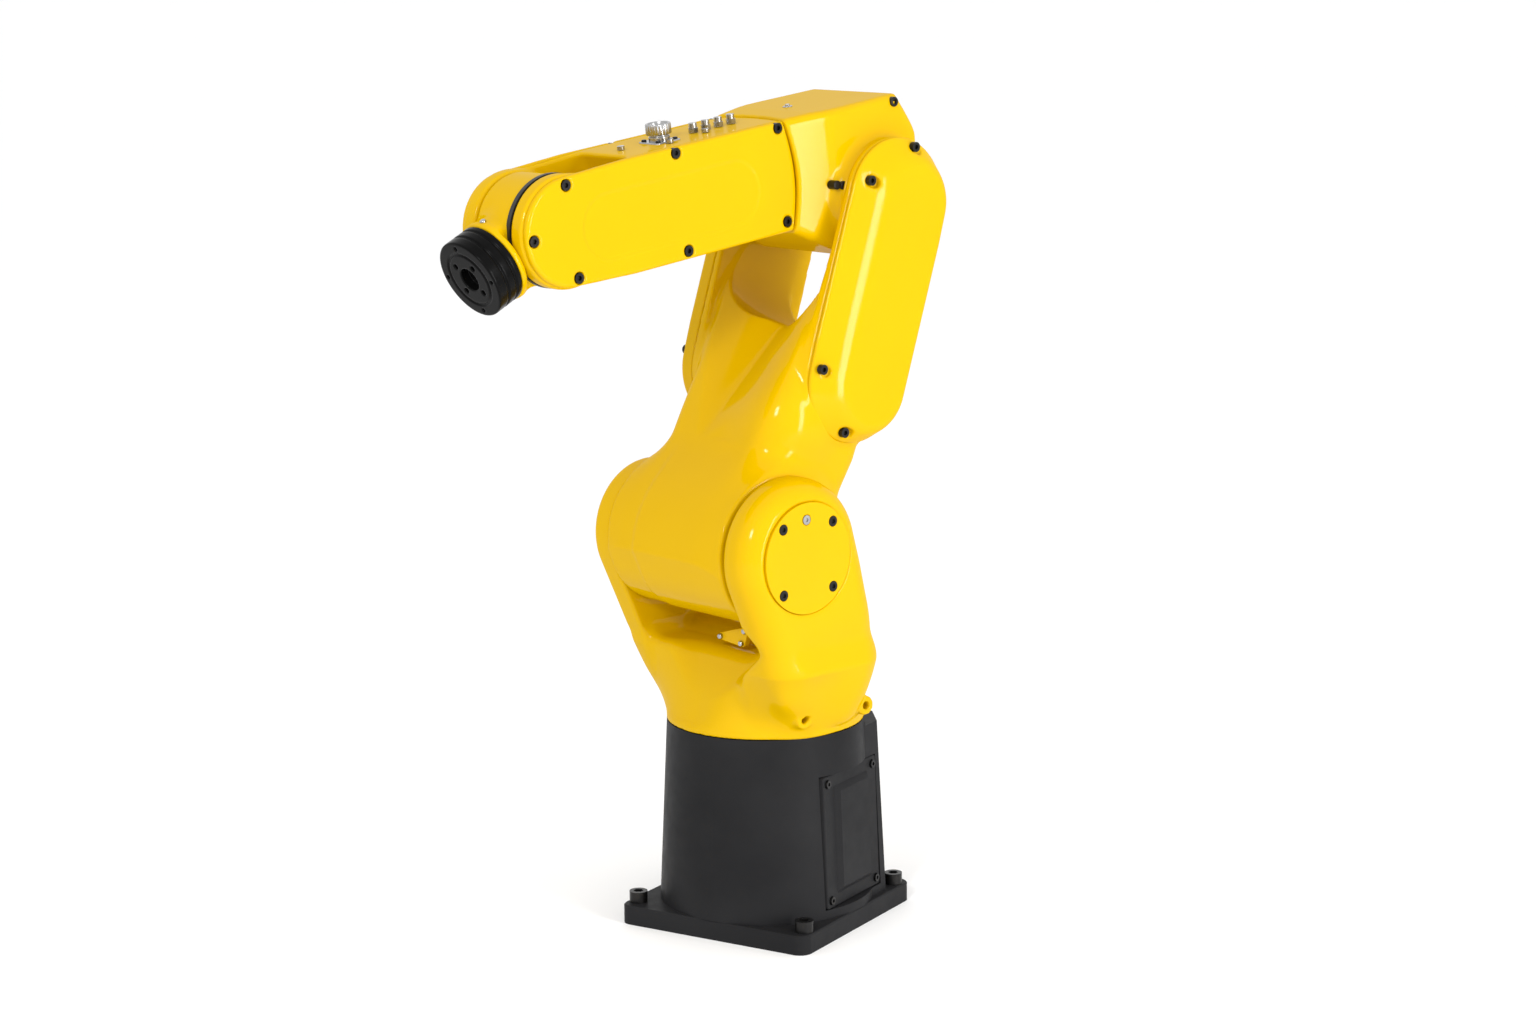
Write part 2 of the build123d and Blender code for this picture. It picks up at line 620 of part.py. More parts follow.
top = forearm_top - 0.6
roof_plane = Plane(origin=forearm_side.from_local_coords(Vector(0, top, 0)), x_dir=forearm_side.x_dir,
                   z_dir=forearm_side.y_dir)


def roof_spot(ahead, leftwards):
    """A plane on the forearm's top at a distance ahead of joint 3 and to the left."""
    return Plane(origin=roof_plane.from_local_coords(Vector(ahead, leftwards, 0)), x_dir=forearm_side.x_dir,
                 z_dir=forearm_side.y_dir)


with BuildPart() as tool_connector:
    socket_plane = roof_spot(196, 4)
    with BuildSketch(socket_plane) as flange_square:
        RectangleRounded(26, 26, 3)
    extrude(flange_square.sketch, amount=3)
    disc_on(socket_plane, 10, 12)
    disc_on(socket_plane.offset(12), 11.5, 12)
save(tool_connector, "tool_connector")

with BuildPart() as air_fittings:
    for ahead in (112, 126, 140, 154):
        place = roof_spot(ahead, 3)
        with BuildSketch(place) as hexagon:
            RegularPolygon(4.4, 6)
        extrude(hexagon.sketch, amount=4)
        disc_on(place, 3.4, 8)
save(air_fittings, "air_fittings")

with BuildPart() as forearm_plugs:
    for ahead, leftwards in ((232, 2), (150, 14), (196, 22)):
        disc_on(roof_spot(ahead, leftwards), 3.2, 3)
save(forearm_plugs, "forearm_plugs")

with BuildPart() as j5_motor:
    block(forearm_side, 28, 2, (forearm_start + 20, 12), (fx - 108, 12), (fx - 108, 58), (forearm_start + 20, 58))
save(j5_motor, "j5_motor")

with BuildPart() as j6_motor:
    block(forearm_side, -2, -28, (forearm_start + 20, 12), (fx - 108, 12), (fx - 108, 58), (forearm_start + 20, 58))
save(j6_motor, "j6_motor")

# ================================================================ WRIST (joint 5)
hub_half_left, hub_half_right = 19.0, -fork_half_gap + running_gap
wrist_hub_r = 45.0
neck_half = 21.5
collar_start, collar_end = 49.0, 52.0
j6_bore_r = 16.0

with BuildPart() as wrist_body:
    rod(wrist_side, hub_half_left, hub_half_right, 0, 0, wrist_hub_r)
    rod(wrist_side, wall_inner - 0.5, -wall_inner + 0.5, 0, 0, axle_r)
    with BuildPart(mode=Mode.PRIVATE) as neck:
        disc_on(along_axis(wrist_side, 0, 0), flange_r, collar_start)
        block(wrist_side, hub_half_left, -neck_half, (0, -60), (60, -60), (60, 60), (0, 60), mode=Mode.INTERSECT)
    add(neck.part)
    disc_on(along_axis(wrist_side, collar_start, 0), flange_r, collar_end - collar_start)
    disc_on(along_axis(wrist_side, collar_end, 0), j6_bore_r + bore_gap, -30, mode=Mode.SUBTRACT)
save(wrist_body, "wrist_body")

with BuildPart() as wrist_seal:
    with BuildSketch(at(wrist_side, fork_half_gap - running_gap)) as ring:
        Circle(wrist_hub_r + 1.5)
        Circle(axle_r, mode=Mode.SUBTRACT)
    extrude(ring.sketch, amount=fork_half_gap - running_gap - hub_half_left)
save(wrist_seal, "wrist_seal")

# ================================================================ TOOL FLANGE (joint 6)
flange_start = collar_end + 0.3
pilot_r, pilot_depth = 10.0, 8.0
tool_pcd, tool_hole_r = 31.5, 2.1
tool_plane = along_axis(wrist_side, flange_reach, 0)

with BuildPart() as tool_flange:
    disc_on(along_axis(wrist_side, flange_start, 0), flange_r, flange_reach - flange_start)
    disc_on(along_axis(wrist_side, collar_end - 24, 0), j6_bore_r, 24 + flange_start - collar_end)
    disc_on(tool_plane, pilot_r, -pilot_depth, mode=Mode.SUBTRACT)
    for angle in range(45, 360, 90):
        x = tool_pcd / 2 * cos(radians(angle))
        y = tool_pcd / 2 * sin(radians(angle))
        place = Plane(origin=tool_plane.from_local_coords(Vector(x, y, 0)), x_dir=left, z_dir=tool_plane.z_dir)
        disc_on(place, tool_hole_r, -12, mode=Mode.SUBTRACT)
save(tool_flange, "tool_flange")
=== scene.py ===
"""Finished looks of the compact six-axis robot arm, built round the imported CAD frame.

The castings are modelled as distance fields: simple solids joined with cast fillets, in millimetres,
in each link's own axes (x ahead, y to the robot's left, z up the link), and skinned with a mesh.
"""
import json

import bmesh
import bpy
import numpy as np
from mathutils import Matrix, Vector


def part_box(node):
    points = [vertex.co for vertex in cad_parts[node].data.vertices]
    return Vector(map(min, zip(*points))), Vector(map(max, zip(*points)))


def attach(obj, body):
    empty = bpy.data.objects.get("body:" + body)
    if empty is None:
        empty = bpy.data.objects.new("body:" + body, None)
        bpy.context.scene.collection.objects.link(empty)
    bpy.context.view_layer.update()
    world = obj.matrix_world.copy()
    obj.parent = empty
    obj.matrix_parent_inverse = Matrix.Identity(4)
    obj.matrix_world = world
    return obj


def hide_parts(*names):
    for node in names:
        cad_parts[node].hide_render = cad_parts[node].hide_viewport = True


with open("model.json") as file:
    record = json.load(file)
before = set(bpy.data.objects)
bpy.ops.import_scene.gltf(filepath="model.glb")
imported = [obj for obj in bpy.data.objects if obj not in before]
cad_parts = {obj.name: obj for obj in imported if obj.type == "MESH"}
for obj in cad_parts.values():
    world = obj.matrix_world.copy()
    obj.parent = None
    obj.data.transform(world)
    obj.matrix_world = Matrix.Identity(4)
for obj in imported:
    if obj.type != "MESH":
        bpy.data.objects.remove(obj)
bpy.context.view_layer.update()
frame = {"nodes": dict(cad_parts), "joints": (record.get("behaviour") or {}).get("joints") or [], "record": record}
MM = 0.001
COARSE = 1.0

# ---------------------------------------------------------------- the links' axes, from the joints
joint = {j["name"]: j for j in frame["joints"]}


def joint_at(name):
    """The joint's place as a vector, in metres."""
    return Vector(joint[name]["pos_m"])


LEFT = Vector(joint["j2_shoulder"]["axis"])
UP = Vector((0, 0, 1))


class Link:
    """A link's own axes: an origin in metres, x ahead, y left and z up the link."""

    def __init__(self, origin, ahead, up):
        self.origin, self.ahead, self.left, self.up = Vector(origin), ahead, LEFT, up

    def place(self, points):
        """Points in millimetres in the link's axes, as metres in the row frame."""
        axes = np.array([self.ahead, self.left, self.up])
        return np.asarray(points) @ axes * MM + np.array(self.origin)

    def matrix(self, point, outward):
        """A matrix on a point of the link, in millimetres, with its z along outward."""
        side = self.ahead if abs(self.ahead.dot(outward)) < 0.9 else self.left
        z = Vector(outward).normalized()
        y = z.cross(side).normalized()
        turned = Matrix((y.cross(z), y, z)).transposed().to_4x4()
        return Matrix.Translation(Vector(self.place([point])[0])) @ turned


shoulder, elbow, wrist = joint_at("j2_shoulder"), joint_at("j3_elbow"), joint_at("j5_wrist_bend")
arm_up = (elbow - shoulder).normalized()
forearm_ahead = Vector(joint["j4_forearm_roll"]["axis"])
flange_ahead = Vector(joint["j6_flange_turn"]["axis"])
turret_link = Link((0, 0, 0), LEFT.cross(UP), UP)
arm_link = Link(shoulder, LEFT.cross(arm_up), arm_up)
forearm_link = Link(elbow, forearm_ahead, forearm_ahead.cross(LEFT))
wrist_link = Link(wrist, flange_ahead, flange_ahead.cross(LEFT))

ARM_LENGTH = (elbow - shoulder).length / MM
SHOULDER = ((shoulder - LEFT * shoulder.dot(LEFT)).dot(turret_link.ahead) / MM, shoulder.z / MM)
WRIST = ((wrist - elbow).dot(forearm_link.ahead) / MM, (wrist - elbow).dot(forearm_link.up) / MM)

# ---------------------------------------------------------------- distance fields
DIRECTIONS = 160


def hull(u, v, *circles):
    """Signed distance to the taut outline round circles given as (u, v, radius)."""
    u, v = np.broadcast_arrays(u, v)
    distance = np.full(u.shape, -1e9, np.float32)
    for angle in np.linspace(0, 2 * np.pi, DIRECTIONS, endpoint=False):
        cu, cv = np.float32(np.cos(angle)), np.float32(np.sin(angle))
        reach = max(cu * a + cv * b + r for a, b, r in circles)
        np.maximum(distance, u * cu + v * cv - np.float32(reach), out=distance)
    return distance


def both(a, b, r=0.0):
    """The intersection of two fields, with its edge rounded to radius r."""
    if not r:
        return np.maximum(a, b)
    return np.minimum(np.maximum(a, b), -r) + np.hypot(np.maximum(a + r, 0), np.maximum(b + r, 0))


def either(a, b, r=0.0):
    """The union of two fields, with its inner corner filled to radius r."""
    return -both(-a, -b, r)


def without(a, b, r=0.0):
    """Field a with b cut away, with the edge rounded to radius r."""
    return both(a, -b, r)


def between(w, low, high):
    """Signed distance to the gap between two parallel planes."""
    return np.maximum(low - w, w - high)


def ramp(value, low, high):
    """0 below low, 1 above high, and a smooth rise between."""
    t = np.clip((value - low) / (high - low), 0, 1)
    return t * t * (3 - 2 * t)


class Grid:
    """A grid of points in a link's axes, in millimetres, with its coordinates ready to broadcast."""

    def __init__(self, low, high, cell):
        self.cell = cell * COARSE
        margin = 3 * self.cell
        self.low = np.array(low, float) - margin
        lines = [np.arange(a, b + margin, self.cell, dtype=np.float32)
                 for a, b in zip(self.low, high)]
        self.x = lines[0][:, None, None]
        self.y = lines[1][None, :, None]
        self.z = lines[2][None, None, :]


def sample(field, places):
    """The field at places given in cells, by trilinear interpolation."""
    top = np.array(field.shape) - 2
    base = np.clip(np.floor(places).astype(int), 0, top)
    t = places - base
    value = np.zeros(len(places))
    for corner in np.ndindex(2, 2, 2):
        c = np.array(corner)
        weight = np.prod(np.where(c, t, 1 - t), axis=1)
        i = base + c
        value += weight * field[i[:, 0], i[:, 1], i[:, 2]]
    return value


def skin_of(field):
    """Points and quads of the field's zero surface: one point in each crossed cell."""
    cells = np.array(field.shape) - 1
    total = int(np.prod(cells))
    sums, hits, quads = np.zeros((total, 3)), np.zeros(total), []
    for axis in range(3):
        line = np.moveaxis(field, axis, 0)
        first, second = line[:-1], line[1:]
        found = np.argwhere((first < 0) != (second < 0))
        a = first[tuple(found.T)]
        b = second[tuple(found.T)]
        edges = np.empty_like(found)
        rest = [k for k in range(3) if k != axis]
        edges[:, axis], edges[:, rest[0]], edges[:, rest[1]] = found.T
        crossing = edges.astype(float)
        crossing[:, axis] += a / (a - b)
        u, v = (axis + 1) % 3, (axis + 2) % 3
        ring = []
        for du, dv in ((0, 0), (-1, 0), (-1, -1), (0, -1)):
            cell = edges.copy()
            cell[:, u] += du
            cell[:, v] += dv
            flat = np.ravel_multi_index(cell.T, cells)
            ring.append(flat)
            hits += np.bincount(flat, minlength=total)
            for k in range(3):
                sums[:, k] += np.bincount(flat, weights=crossing[:, k], minlength=total)
        ring = np.array(ring).T
        ring[a >= 0] = ring[a >= 0][:, ::-1]
        quads.append(ring)
    used = hits > 0
    index = np.cumsum(used) - 1
    return sums[used] / hits[used][:, None], index[np.concatenate(quads)]


EVENING = 0.5           # how far a point moves towards the mean of its neighbours in a round
HALF_CELL = 0.5         # the step over which the field's slope is taken, in cells
LONGEST_MOVE = 0.7      # the furthest that a point is drawn back in a round, in cells


def settle(points, quads, field, rounds=3):
    """Evens the points out along the surface and draws each back onto it."""
    for _ in range(rounds):
        sums, hits = np.zeros_like(points), np.zeros(len(points))
        for k in range(4):
            here, there = quads[:, k], quads[:, (k + 1) % 4]
            for one, other in ((here, there), (there, here)):
                hits += np.bincount(one, minlength=len(points))
                for axis in range(3):
                    sums[:, axis] += np.bincount(one, weights=points[other, axis], minlength=len(points))
        points = points + EVENING * (sums / hits[:, None] - points)
        value = sample(field, points)
        slope = np.stack([
            sample(field, points + step) - sample(field, points - step)
            for step in np.eye(3) * HALF_CELL
        ], axis=1)
        steep = np.maximum((slope ** 2).sum(1), 1e-6)
        move = -value[:, None] * slope / steep[:, None]
        size = np.linalg.norm(move, axis=1, keepdims=True)
        points = points + move * np.minimum(1, LONGEST_MOVE / np.maximum(size, 1e-9))
    return points


def mesh_object(name, points, faces, material):
    """A smooth-shaded mesh object."""
    mesh = bpy.data.meshes.new(name)
    mesh.from_pydata(np.asarray(points).tolist(), [], np.asarray(faces).tolist())
    mesh.shade_smooth()
    mesh.materials.append(material)
    thing = bpy.data.objects.new(name, mesh)
    bpy.context.scene.collection.objects.link(thing)
    return thing


def casting(name, field, grid, link, body, material, slot, *replaced):
    """Skins a field, attaches the piece to its body and hides the CAD parts that it replaces."""
    points, quads = skin_of(field)
    points = settle(points, quads, field)
    thing = mesh_object(name, link.place(grid.low + points * grid.cell), quads, material)
    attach(thing, body)
    if replaced:
        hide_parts(*replaced)
    return thing


def lathe(name, profile, matrix, body, material, steps=96):
    """A turned piece: (radius, height) points in millimetres, spun round the matrix's z axis."""
    bm = bmesh.new()
    spun = [bm.verts.new((r * MM, 0, h * MM)) for r, h in profile]
    edges = [bm.edges.new(pair) for pair in zip(spun, spun[1:])]
    bmesh.ops.spin(bm, geom=spun + edges, axis=(0, 0, 1), cent=(0, 0, 0), angle=2 * np.pi, steps=steps)
    bmesh.ops.remove_doubles(bm, verts=bm.verts, dist=1e-6)
    bmesh.ops.recalc_face_normals(bm, faces=bm.faces)
    bm.transform(matrix)
    mesh = bpy.data.meshes.new(name)
    bm.to_mesh(mesh)
    bm.free()
    mesh.materials.append(material)
    thing = bpy.data.objects.new(name, mesh)
    bpy.context.scene.collection.objects.link(thing)
    edge_finish(thing)
    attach(thing, body)
    return thing


def edge_finish(thing, width=0.35 * MM, angle=0.6):
    """Small bevels on the edges sharper than angle, in radians, with the flats kept flat in the shading."""
    bevel = thing.modifiers.new("edges", "BEVEL")
    bevel.width = width
    bevel.segments = 2
    bevel.limit_method = "ANGLE"
    bevel.angle_limit = angle
    bevel.harden_normals = True
    thing.data.shade_smooth()


# ---------------------------------------------------------------- materials
def new_material(name):
    """A node material with its tree, its shader and object coordinates."""
    material = bpy.data.materials.new(name)
    material.use_nodes = True
    nodes = material.node_tree.nodes
    shader = nodes["Principled BSDF"]
    place = nodes.new("ShaderNodeTexCoord").outputs["Object"]
    return material, shader, place


def noise(material, place, scale, detail=3.0, roughness=0.5):
    """A noise texture's value."""
    node = material.node_tree.nodes.new("ShaderNodeTexNoise")
    node.inputs["Scale"].default_value = scale
    node.inputs["Detail"].default_value = detail
    node.inputs["Roughness"].default_value = roughness
    material.node_tree.links.new(place, node.inputs["Vector"])
    return node.outputs["Fac"]


def spread(material, value, low, high, from_low=0.3, from_high=0.7):
    """A value mapped from the texture's usual range to low..high."""
    node = material.node_tree.nodes.new("ShaderNodeMapRange")
    node.inputs["From Min"].default_value = from_low
    node.inputs["From Max"].default_value = from_high
    node.inputs["To Min"].default_value = low
    node.inputs["To Max"].default_value = high
    material.node_tree.links.new(value, node.inputs["Value"])
    return node.outputs["Result"]


def colours(material, value, first, second):
    """A colour between two, by value."""
    node = material.node_tree.nodes.new("ShaderNodeMix")
    node.data_type = "RGBA"
    node.inputs["A"].default_value = (*first, 1)
    node.inputs["B"].default_value = (*second, 1)
    material.node_tree.links.new(value, node.inputs["Factor"])
    return node.outputs["Result"]


def bump(material, shader, height, strength, distance):
    """Fine relief on the shader's normal."""
    node = material.node_tree.nodes.new("ShaderNodeBump")
    node.inputs["Strength"].default_value = strength
    node.inputs["Distance"].default_value = distance
    material.node_tree.links.new(height, node.inputs["Height"])
    material.node_tree.links.new(node.outputs["Normal"], shader.inputs["Normal"])


COAT_ROUGHNESS = 0.09


def finish_of(name, first, second, patch, rough, metallic=0.0, coat=0.0, gloss=0.5, grain=900.0,
              relief=(0.05, 0.0002)):
    """A finish: two close colours in soft patches, an uneven roughness and a fine grain.

    patch and grain are the scales of the patches and the grain, rough is the roughness's range, and
    relief is the strength and the height of the grain.
    """
    material, shader, place = new_material(name)
    link = material.node_tree.links.new
    cloud = noise(material, place, patch)
    link(colours(material, spread(material, cloud, 0, 1), first, second), shader.inputs["Base Color"])
    link(spread(material, noise(material, place, patch * 6), *rough), shader.inputs["Roughness"])
    shader.inputs["Metallic"].default_value = metallic
    shader.inputs["Specular IOR Level"].default_value = gloss
    if coat:
        shader.inputs["Coat Weight"].default_value = coat
        shader.inputs["Coat Roughness"].default_value = COAT_ROUGHNESS
    bump(material, shader, noise(material, place, grain, detail=2.0), *relief)
    return material


YELLOW = finish_of("yellow_gloss_paint", (0.62, 0.375, 0.0), (0.60, 0.36, 0.0), patch=9,
                   rough=(0.26, 0.34), coat=0.24, gloss=0.0, grain=420, relief=(0.035, 0.0004))
GREY = finish_of("grey_textured_paint", (0.013, 0.013, 0.014), (0.018, 0.018, 0.019), patch=14,
                 rough=(0.42, 0.52), gloss=0.06, grain=1500, relief=(0.12, 0.0003))
BLACK_OXIDE = finish_of("black_oxide", (0.010, 0.010, 0.011), (0.020, 0.019, 0.018), patch=60,
                        rough=(0.28, 0.42), metallic=0.7, grain=1800)
NICKEL = finish_of("nickel_plate", (0.46, 0.46, 0.46), (0.34, 0.34, 0.34), patch=50,
                   rough=(0.18, 0.30), metallic=1.0, grain=1600)
STEEL = finish_of("ground_steel", (0.45, 0.45, 0.46), (0.36, 0.36, 0.37), patch=40,
                  rough=(0.25, 0.4), metallic=1.0)
MOTOR_BLACK = finish_of("motor_enamel", (0.012, 0.012, 0.013), (0.018, 0.018, 0.018), patch=20,
                        rough=(0.4, 0.55))
RUBBER = finish_of("seal_rubber", (0.006, 0.006, 0.006), (0.010, 0.010, 0.010), patch=30,
                   rough=(0.42, 0.55), grain=1200)
FLANGE_BLACK = finish_of("flange_black", (0.002, 0.002, 0.002), (0.004, 0.004, 0.004), patch=40,
                         rough=(0.16, 0.26), gloss=0.06, grain=1500)
BY_SLOT = {
    "yellow_paint": YELLOW, "grey_paint": GREY, "black_screw": BLACK_OXIDE, "bright_metal": NICKEL,
    "motor_black": MOTOR_BLACK, "bearing_steel": STEEL, "seal_rubber": RUBBER, "flange_metal": FLANGE_BLACK,
}
for part in frame["record"]["subparts"]:
    node = frame["nodes"][part["node"]]
    node.data.materials.clear()
    node.data.materials.append(BY_SLOT[part["material_slot"]])

# ---------------------------------------------------------------- turret
sx, sz = SHOULDER
EAR_LEFT, EAR_RIGHT = (74.0, 112.9), (-101.3, -77.0)     # each ear's two faces, right face first
WAIST = 243.0               # the height where the ears begin
COLUMN_R = 87.0             # the round foot's radius
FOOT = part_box("turret_frame")[0][2] / MM
SKIRT = 179.9               # the painted body's lower edge
LIP = 6                     # the upright edge above it, before the flare
BOSS_UP, BOSS_R, BOSS_HOLE_R = 199, 8.5, 3.6
CAP_R, CAP_SEAT = 48.1, 109.6
DRUM_R = 66.5               # room for the arm's drum between the ears


def turret_body(x, y, z):
    """The body: a round foot that flares out to the waist, latest at its left front."""
    foot = hull(x, y, (0, 0, COLUMN_R))
    waist = hull(x, y, (48, -80.3, 21), (-14, -80.3, 21), (-12, 85.9, 27), (46, 84.9, 28))
    t = np.clip((z - SKIRT - LIP) / (WAIST - SKIRT - LIP), 0, 1)
    left_front = ramp(y, 0, 60) * ramp(x, -10, 40)
    flare = t ** (0.58 + 1.6 * left_front)
    body = both(foot * (1 - flare) + waist * flare, z - WAIST - 8, 9)
    return both(body, SKIRT - z, 1)


def turret_left_ear(x, y, z):
    """The left ear: its outer face leans in below a slanted crease, and its foot is thicker inside."""
    ear = both(hull(x, z, (sx, sz, 66), (12, WAIST, 54), (30, WAIST, 44)), y - EAR_LEFT[1], 24)
    crease = 246 - 0.45 * (x - 30)
    lean_in = (y - EAR_LEFT[1] + (crease - z) * 0.42) * 0.9
    ear = both(ear, lean_in, 16)
    thick_foot = 13 * ramp(-z, -286, -277)
    return both(ear, EAR_LEFT[0] - thick_foot - y, 2.5)


def turret_right_ear(x, y, z):
    """The right ear: thinner, with an outer face that leans in below the waist."""
    ear = both(hull(x, z, (sx, sz, 60.4), (2, WAIST, 38), (26, WAIST, 38)), EAR_RIGHT[0] - y, 7)
    ear = both(ear, y - EAR_RIGHT[1], 2.5)
    return both(ear, (EAR_RIGHT[0] - y + (WAIST - z) * 0.3) * 0.95, 7)


def turret_scoop(x, y, z):
    """The round ramp cut away in front of the drum, between two walls that lean outwards."""
    left_wall = np.minimum(86 - 12 * ramp(z, 268, 288), 86 - (262 - z) * 1.2)
    right_wall = -70 + np.maximum(300 - z, 0) * 0.5
    scoop = both(hull(x, z, (152, 296, 105), (150, 420, 105)), (y - left_wall) * 0.75, 9)
    return both(scoop, (right_wall - y) * 0.89, 24)


def turret():
    """The turntable casting: round foot, flared body, two ears, and a ramp scooped out between them."""
    g = Grid((-98, -112, FOOT - 1), (126, 118, 416), cell=1.9)
    x, y, z = g.x, g.y, g.z
    whole = either(turret_body(x, y, z), turret_left_ear(x, y, z), 22)
    whole = either(whole, turret_right_ear(x, y, z), 14)
    web = both(hull(x, z, (-22, 244, 18), (12, 250, 14)), between(y, -90, 90))
    whole = either(whole, web, 6)
    whole = without(whole, turret_scoop(x, y, z), 9)
    drum_room = both(hull(x, z, (sx, sz, DRUM_R)), between(y, EAR_RIGHT[1], EAR_LEFT[0]))
    whole = without(whole, drum_room, 1.5)
    for ahead in (-36, 36):
        from_boss = np.hypot(x - ahead, z - BOSS_UP)
        whole = either(whole, both(from_boss - BOSS_R, between(y, 50, 92), 1.6), 3)
        whole = without(whole, both(from_boss - BOSS_HOLE_R, between(y, 78, 99)), 0.8)
    cap_room = both(np.hypot(x - sx, z - sz) - CAP_R, CAP_SEAT - y)
    whole = without(whole, cap_room, 0.9)
    hub = both(np.hypot(x, y) - 60, between(z, FOOT, SKIRT + 8))
    whole = np.minimum(whole, hub)
    casting("turret_casting", whole, g, turret_link, "turret", YELLOW, "yellow_paint", "turret_frame")


turret()


def prism(name, outline, link, body, material, slot, *replaced):
    """A plate from (x, z, radius) circles, between two y planes, with softened edges."""
    circles, low, high = outline
    margin = max(c[2] for c in circles) + 1
    across = [c[0] for c in circles]
    upwards = [c[1] for c in circles]
    g = Grid((min(across) - margin, low - 1, min(upwards) - margin),
             (max(across) + margin, high + 1, max(upwards) + margin), cell=0.5)
    shape = both(hull(g.x, g.z, *circles), between(g.y, low, high), 0.5)
    return casting(name, shape, g, link, body, material, slot, *replaced)


def ground_bracket():
    """A small three-cornered bracket on the wall under the drum, with a bright screw in each corner."""
    corners = ((4.9, 261), (36.5, 270.5), (32, 259))
    corner_r = 3.2
    back, front = 48, 54.5
    head = [(0, 3), (1.9, 3), (2.6, 2.2), (2.6, -1), (0, -1)]
    g = Grid((47, 0, 254), (56, 42, 276), cell=0.5)
    plan = hull(g.y, g.z, *[(a, b, corner_r) for a, b in corners])
    plate = both(plan, between(g.x, back, front), 0.6)
    casting("bracket_plate", plate, g, turret_link, "turret", YELLOW, "yellow_paint", "ground_bracket")
    for k, (leftwards, up) in enumerate(corners):
        spot = turret_link.matrix((front, leftwards, up), turret_link.ahead)
        screw = lathe(f"bracket_screw_{k + 1}", head, spot, "turret", NICKEL, steps=32)
    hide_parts("ground_bracket_screws")


ground_bracket()

# ---------------------------------------------------------------- lower arm
PRONG_R = 52.5
PRONGS = ((0, ARM_LENGTH, PRONG_R), (-20, 160, PRONG_R))
INNER, WALL = 67.3, 75.3                        # the prong walls' two faces, either side of the middle
GAP_R, GAP_EDGE = 124, 40                       # the round bottom of the fork, and its corners' softness
STUBS = ((40, 70, 94), (30, -90, -70))          # radius and span of the stubs that run into the ears
DRUM_ENDS = (-76.5, 96)


def lerp_sections(z, *stations):
    """A field that runs from section to section along z. Each station is (z, field)."""
    result = stations[0][1]
    for (z0, a), (z1, b) in zip(stations, stations[1:]):
        t = np.clip((z - z0) / (z1 - z0), 0, 1)
        result = result * (1 - t) + b * t
    return result


def arm_trunk(x, y, z):
    """The trunk with its swollen left shoulder, the two prong walls and the gap between them."""
    low = hull(x, y, (30, -52, 14), (12, 36, 33), (-38, 48, 18), (-38, -46, 18))
    mid = hull(x, y, (27, -49, 15), (15, 44, 29), (-42, 56, 18), (-40, -46, 16))
    top = hull(x, y, (24, -58, 8), (27, 58, 16), (-42, 64, 10), (-42, -58, 8))
    trunk = lerp_sections(z, (10, low), (100, mid), (224, top))
    trunk = both(trunk, between(z, -20, 268))
    knuckle = np.sqrt((x - 10) ** 2 + (y - 40) ** 2 + (z - 112) ** 2) - 37
    trunk = either(trunk, knuckle, 18)
    for low_y, high_y in ((INNER, WALL), (-WALL, -INNER)):
        wall = both(hull(x, z, *PRONGS), between(y, low_y, high_y), 1.5)
        trunk = either(trunk, wall, 7)
    core = both(hull(x, z, (-20, 160, PRONG_R - 1.5)), between(y, -WALL, WALL), 12)
    trunk = either(trunk, core, 8)
    gap_outline = hull(x, z, (0, ARM_LENGTH, GAP_R), (0, ARM_LENGTH + 120, GAP_R))
    gap = both(gap_outline, between(y, -INNER, INNER), GAP_EDGE)
    return without(trunk, gap, 2.5)


def behind_valley(x, y, z):
    """What lies behind the valley up the trunk's front: a sloping bed between two banks."""
    above = z - 83
    bed = 41 - above * 0.30 + np.maximum(80 - z, 0) * 1.3
    middle = -17 + above * 0.147
    steep = np.clip(0.24 + above * 0.0034, 0.24, 0.7)
    right_bank = bed - (y - middle) * 0.42
    left_bank = bed + (y - middle) * steep
    surface = 0.5 * (right_bank + left_bank + np.hypot(right_bank - left_bank, 2.5))
    return np.where(np.abs(y) > INNER, -50, (x - surface) * 0.9)


def lower_arm():
    """The forked casting: drum, trunk with a valley up its front, and the two prong walls."""
    g = Grid((-72, -80, -68), (70, 97, 376), cell=1.9)
    x, y, z = g.x, g.y, g.z
    drum = both(np.hypot(x, z) - 65, between(y, -38, 73.5), 1.5)
    neck = both(np.hypot(x, z) - 63.6, between(y, DRUM_ENDS[0], 0), 1.5)
    whole = either(arm_trunk(x, y, z), np.minimum(drum, neck), 26)
    keep = behind_valley(x, y, z)
    soft = ramp(y, -20, 30)
    whole = both(whole, keep, 1.0) * (1 - soft) + both(whole, keep, 12.0) * soft
    for stub_r, low_y, high_y in STUBS:
        whole = np.minimum(whole, both(np.hypot(x, z) - stub_r, between(y, low_y, high_y)))
    whole = both(whole, between(np.where(z < 66, y, 0), *DRUM_ENDS))
    casting("arm_casting", whole, g, arm_link, "lower_arm", YELLOW, "yellow_paint", "lower_arm_casting")


lower_arm()

SCREW_SPOTS = ((41, 321), (5, 366), (26, 156), (-20, 115))
SLOT_R, SLOT_RUN = 5.0, 4.5


